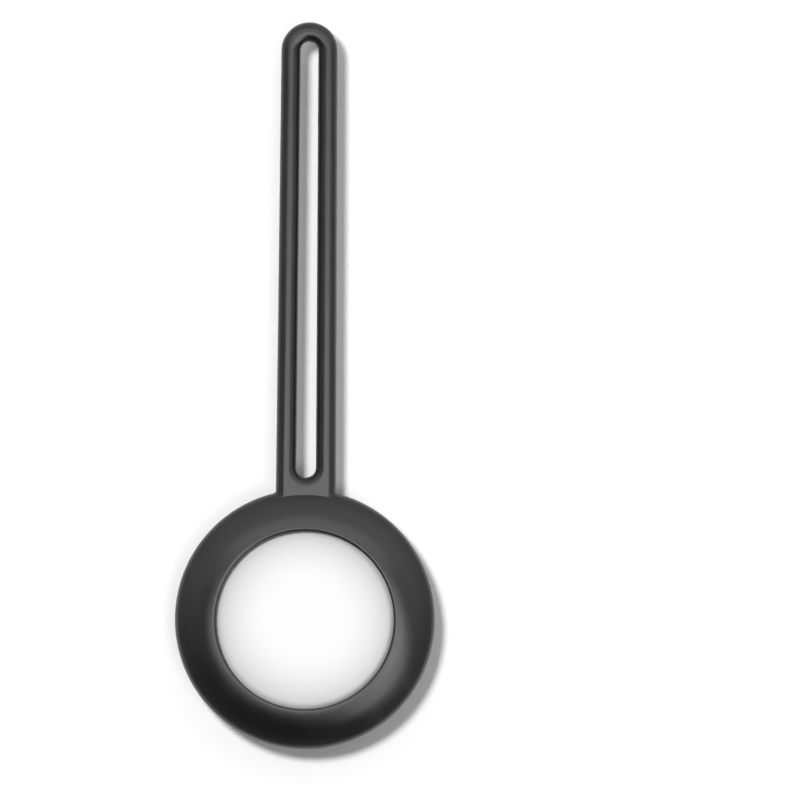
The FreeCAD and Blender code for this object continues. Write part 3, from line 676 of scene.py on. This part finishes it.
class TAGHOLDER_OT_silicone(bpy.types.Operator):
    """Mould the pocket, neck and loop strap as one silicone skin."""

    bl_idname = "tagholder.silicone"
    bl_label = "Silicone holder"

    def execute(self, context):
        holder, tag = context.scene.holder, context.scene.tag
        pocket = turned_piece("silicone_holder", pocket_profile(holder, tag))
        skin = joined(pocket, strap_piece("loop_strap", holder))
        settle(skin, silicone_finish(holder), "silicone",
               "pocket_back", "pocket_front", "strap_neck", "strap_loop")
        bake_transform(skin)
        return {"FINISHED"}


class TAGHOLDER_OT_tag_case(bpy.types.Operator):
    """Make the white domed cover, and finish the chassis and the glue ring."""

    bl_idname = "tagholder.tag_case"
    bl_label = "Tag case"

    def execute(self, context):
        tag = context.scene.tag
        girth, _ = cover_girth(tag)
        apex = FRONT_COVER[1].z
        dome_reach, dome_foot = TAG_RADIUS - tag.edge_run, apex - tag.dome_drop
        dome = (dome_reach ** 2 + tag.dome_drop ** 2) / (2 * tag.dome_drop)
        wall = tag.cover_wall
        cover = turned_piece("domed_cover", traced([
            (0, apex - wall, -dome),
            (dome_reach, dome_foot - wall, wall - tag.edge_radius),
            (TAG_RADIUS - wall, girth),
            (TAG_RADIUS - wall, PARTING_LINE),
            (TAG_RADIUS, PARTING_LINE),
            (TAG_RADIUS, girth, tag.edge_radius),
            (dome_reach, dome_foot, dome),
            (0, apex),
        ]))
        settle(cover, white_gloss_finish(tag), "white_gloss", "front_cover")
        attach(cover, "tag")
        dress(white_satin_finish(tag), "rear_chassis")
        dress(moulded_finish("cured_glue", tone=(0.6, 0.56, 0.44), roughness=0.4), "cover_adhesive")
        return {"FINISHED"}


class TAGHOLDER_OT_battery_cover(bpy.types.Operator):
    """Make the polished steel disc, and finish its bayonet ring, pad and seal."""

    bl_idname = "tagholder.battery_cover"
    bl_label = "Battery cover"

    def execute(self, context):
        tag = context.scene.tag
        low, high = STEEL_DISC
        radius, edge = high.x, tag.disc_round
        disc = turned_piece("steel_disc", traced([
            (0, low.z),
            (radius - edge, low.z, edge),
            (radius, low.z + edge),
            (radius, high.z),
            (0, high.z),
        ]))
        steel = turned_steel_finish("turned_steel", tone=tuple(tag.steel), pitch=tag.turned_pitch,
                                    smooth=0.12, rough=0.2)
        settle(disc, steel, "polished_steel", "battery_cover")
        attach(disc, "cover")
        dress(moulded_finish("bayonet_black", tone=(0.03, 0.03, 0.032), roughness=0.45), "bayonet_ring")
        dress(moulded_finish("closed_foam", tone=(0.05, 0.05, 0.052), roughness=0.8), "cover_foam")
        dress(moulded_finish("seal_rubber", tone=(0.025, 0.025, 0.026), roughness=0.6), "cover_seal")
        return {"FINISHED"}


class TAGHOLDER_OT_coin_cell(bpy.types.Operator):
    """Finish the coin cell and the contacts that press on it."""

    bl_idname = "tagholder.coin_cell"
    bl_label = "Coin cell and contacts"

    def execute(self, context):
        nickel = turned_steel_finish("cell_nickel", tone=(0.56, 0.56, 0.55), pitch=0.15 * MM,
                                     smooth=0.24, rough=0.34)
        dress(nickel, "cell_can", "cell_cap")
        dress(moulded_finish("cell_gasket_blue", tone=(0.2, 0.25, 0.33), roughness=0.35), "cell_gasket")
        dress(rolled_metal_finish("spring_metal", tone=(0.62, 0.59, 0.5), roughness=0.28),
              "negative_contact", "positive_contacts")
        return {"FINISHED"}


class TAGHOLDER_OT_electronics(bpy.types.Operator):
    """Finish the board, its chips and capacitors, the shield can and the antennas."""

    bl_idname = "tagholder.electronics"
    bl_label = "Board and antennas"

    def execute(self, context):
        mask = board_finish("solder_mask", tone=(0.012, 0.03, 0.02), copper=(0.03, 0.085, 0.055))
        dress(mask, "logic_board")
        dress(moulded_finish("chip_epoxy", tone=(0.018, 0.018, 0.02), roughness=0.42), *CHIPS)
        dress(rolled_metal_finish("tinned_sheet", tone=(0.58, 0.58, 0.56), roughness=0.3),
              "shield_can", "clock_crystal")
        ceramic = moulded_finish("fired_ceramic", tone=(0.34, 0.23, 0.14), roughness=0.35)
        dress(ceramic, "board_capacitors")
        carrier = moulded_finish("carrier_plastic", tone=(0.07, 0.07, 0.073), roughness=0.5)
        dress(carrier, "antenna_carrier")
        gold = rolled_metal_finish("antenna_gold", tone=(0.72, 0.52, 0.24), roughness=0.26)
        dress(gold, "antenna_traces")
        return {"FINISHED"}


class TAGHOLDER_OT_speaker(bpy.types.Operator):
    """Finish the speaker: steel cup, magnet, wound coil and its ring."""

    bl_idname = "tagholder.speaker"
    bl_label = "Speaker"

    def execute(self, context):
        zinc = turned_steel_finish("zinc_cup", tone=(0.42, 0.42, 0.43), pitch=0.2 * MM,
                                   smooth=0.3, rough=0.42)
        dress(zinc, "speaker_yoke")
        nickel = turned_steel_finish("magnet_nickel", tone=(0.55, 0.54, 0.51), pitch=0.3 * MM,
                                     smooth=0.2, rough=0.3)
        dress(nickel, "speaker_magnet")
        dress(wound_finish("coil_wire", tone=(0.62, 0.27, 0.12)), "voice_coil")
        dress(moulded_finish("amber_film", tone=(0.5, 0.3, 0.1), roughness=0.3), "coil_former")
        return {"FINISHED"}


def paper_floor(tone):
    """A wide sheet of matt paper just under the part."""
    bm = bmesh.new()
    bmesh.ops.create_grid(bm, x_segments=2, y_segments=2, size=FLOOR_REACH)
    floor = bpy.data.objects.new("floor", bpy.data.meshes.new("floor"))
    bm.to_mesh(floor.data)
    bm.free()
    floor.location.z = CAD_BOX[0].z - FLOOR_GAP
    bpy.context.scene.collection.objects.link(floor)
    paper = Finish("floor_paper", roughness=0.9)
    paper.tint(paper.grain(40 * MM), low=scaled(tone, 0.995), high=tone)
    paper.shader.inputs["Specular IOR Level"].default_value = 0.0
    floor.data.materials.append(paper.material)


def oval_lamp(name, place, target, size):
    """An oval lamp of that width and depth, turned to the target."""
    lamp = bpy.data.lights.new(name, "AREA")
    lamp.shape = "ELLIPSE"
    lamp.size, lamp.size_y = size
    stand = bpy.data.objects.new(name, lamp)
    stand.location = place
    stand.rotation_euler = (place - target).to_track_quat("Z", "Y").to_euler()
    stand.visible_camera = False
    bpy.context.scene.collection.objects.link(stand)
    return stand


def matt_lamp(name, place, target, width, level):
    """A lamp that lights a level surface at the target to that level, and leaves gloss alone."""
    lamp = oval_lamp(name, place, target, (width, width))
    reach = place - target
    lamp.data.energy = level * math.pi ** 2 * reach.length_squared / reach.normalized().z
    lamp.visible_glossy = False


def softbox(name, place, target, size, brightness):
    """A lamp of that brightness that shows as sheen, and leaves the light on the floor alone."""
    box = oval_lamp(name, place, target, size)
    box.data.energy = brightness * math.pi * (math.pi / 4 * size[0] * size[1])
    box.visible_diffuse = False


def ramp(tree, source, start, stop, low, high):
    """A value that eases from low to high as the source goes from start to stop."""
    spread = tree.nodes.new("ShaderNodeMapRange")
    spread.interpolation_type = "SMOOTHSTEP"
    set_range(spread, start, stop, low, high)
    tree.links.new(source, spread.inputs["Value"])
    return spread.outputs["Result"]


def studio_room(level, matt_share):
    """A room with a bright wall beyond the strap's tip and a dark wall opposite.

    It is dim overhead and at its skirting, and a little brighter to the right. Matt surfaces get only a
    share of its light.
    """
    world = bpy.data.worlds.new("studio_room")
    world.use_nodes = True
    tree = world.node_tree
    place = tree.nodes.new("ShaderNodeTexCoord")
    split = tree.nodes.new("ShaderNodeSeparateXYZ")
    path = tree.nodes.new("ShaderNodeLightPath")
    tree.links.new(place.outputs["Generated"], split.inputs["Vector"])
    across, along, up = (split.outputs[axis] for axis in "XYZ")
    strength = ramp(tree, along, start=-0.75, stop=0.75, low=ROOM_DARK * level, high=level)
    parts = (
        ramp(tree, up, start=0.55, stop=0.85, low=1.0, high=ROOM_CEILING),
        ramp(tree, up, start=0.1, stop=0.35, low=ROOM_SKIRTING, high=1.0),
        ramp(tree, across, start=0.0, stop=0.7, low=1.0, high=ROOM_RIGHT),
        ramp(tree, path.outputs["Is Diffuse Ray"], start=0.0, stop=1.0, low=1.0, high=matt_share),
    )
    for part in parts:
        product = tree.nodes.new("ShaderNodeMath")
        product.operation = "MULTIPLY"
        tree.links.new(strength, product.inputs[0])
        tree.links.new(part, product.inputs[1])
        strength = product.outputs["Value"]
    tree.links.new(strength, tree.nodes["Background"].inputs["Strength"])
    tree.nodes["Background"].inputs["Color"].default_value = (1, 1, 1, 1)
    bpy.context.scene.world = world


def overhead_camera(studio, target):
    """A camera that looks straight down on the target through a long lens."""
    camera = bpy.data.cameras.new("camera")
    camera.lens = studio.lens
    camera.clip_end = CAMERA_REACH
    height = studio.view_width * studio.lens / camera.sensor_width
    eye = bpy.data.objects.new("camera", camera)
    eye.location = target + Vector((0, 0, height))
    eye.rotation_euler = (0, 0, studio.view_roll)
    bpy.context.scene.collection.objects.link(eye)
    bpy.context.scene.camera = eye


class TAGHOLDER_OT_studio(bpy.types.Operator):
    """Set up the floor, the lamps, the room and the camera that looks straight down."""

    bl_idname = "tagholder.studio"
    bl_label = "Studio"

    def execute(self, context):
        studio = context.scene.studio
        context.scene.view_settings.view_transform = "Standard"
        middle = Matrix.Rotation(studio.view_roll, 2) @ Vector((studio.view_across, studio.view_up))
        target = Vector((middle.x, middle.y, STRAP_PLANE))
        ring = Vector((0, 0, STRAP_PLANE))
        top = ring + TOP_PLACE
        paper_floor(studio.floor_colour)
        matt_lamp("key_lamp", target + KEY_PLACE, target, KEY_WIDTH, studio.key_level)
        matt_lamp("fill_lamp", target + FILL_PLACE, target, FILL_WIDTH, studio.fill_level)
        softbox("top_softbox", top, top - Vector((0, 0, 1)), TOP_SIZE, studio.top_sheen)
        softbox("side_softbox", ring + SIDE_PLACE, ring, SIDE_SIZE, studio.side_sheen)
        softbox("back_softbox", ring + BACK_PLACE, ring, BACK_SIZE, studio.back_sheen)
        studio_room(studio.room_level, studio.room_share)
        overhead_camera(studio, target)
        return {"FINISHED"}


class TAGHOLDER_PT_pieces(bpy.types.Panel):
    """The pieces, in the order in which they are made, and their settings."""

    bl_idname = "TAGHOLDER_PT_pieces"
    bl_label = "Tag holder"
    bl_space_type = "VIEW_3D"
    bl_region_type = "UI"
    bl_category = "Tag holder"

    def draw(self, context):
        for operator in OPERATORS:
            self.layout.operator(operator.bl_idname)
        for settings in (context.scene.holder, context.scene.tag, context.scene.studio):
            box = self.layout.box()
            for name in settings.__annotations__:
                box.prop(settings, name)


SETTINGS = {"holder": HolderSettings, "tag": TagSettings, "studio": StudioSettings}
OPERATORS = (
    TAGHOLDER_OT_silicone,
    TAGHOLDER_OT_tag_case,
    TAGHOLDER_OT_battery_cover,
    TAGHOLDER_OT_coin_cell,
    TAGHOLDER_OT_electronics,
    TAGHOLDER_OT_speaker,
    TAGHOLDER_OT_studio,
)


def register():
    """Register the classes and give the scene its settings."""
    for cls in (*SETTINGS.values(), *OPERATORS, TAGHOLDER_PT_pieces):
        bpy.utils.register_class(cls)
    for name, settings in SETTINGS.items():
        setattr(bpy.types.Scene, name, PointerProperty(type=settings))


def unregister():
    """Take the settings and classes away again."""
    for name in SETTINGS:
        delattr(bpy.types.Scene, name)
    for cls in (TAGHOLDER_PT_pieces, *reversed(OPERATORS), *SETTINGS.values()):
        bpy.utils.unregister_class(cls)


def main():
    """Make every piece in order."""
    register()
    bpy.ops.tagholder.silicone()
    bpy.ops.tagholder.tag_case()
    bpy.ops.tagholder.battery_cover()
    bpy.ops.tagholder.coin_cell()
    bpy.ops.tagholder.electronics()
    bpy.ops.tagholder.speaker()
    bpy.ops.tagholder.studio()


if __name__ == "__main__":
    main()
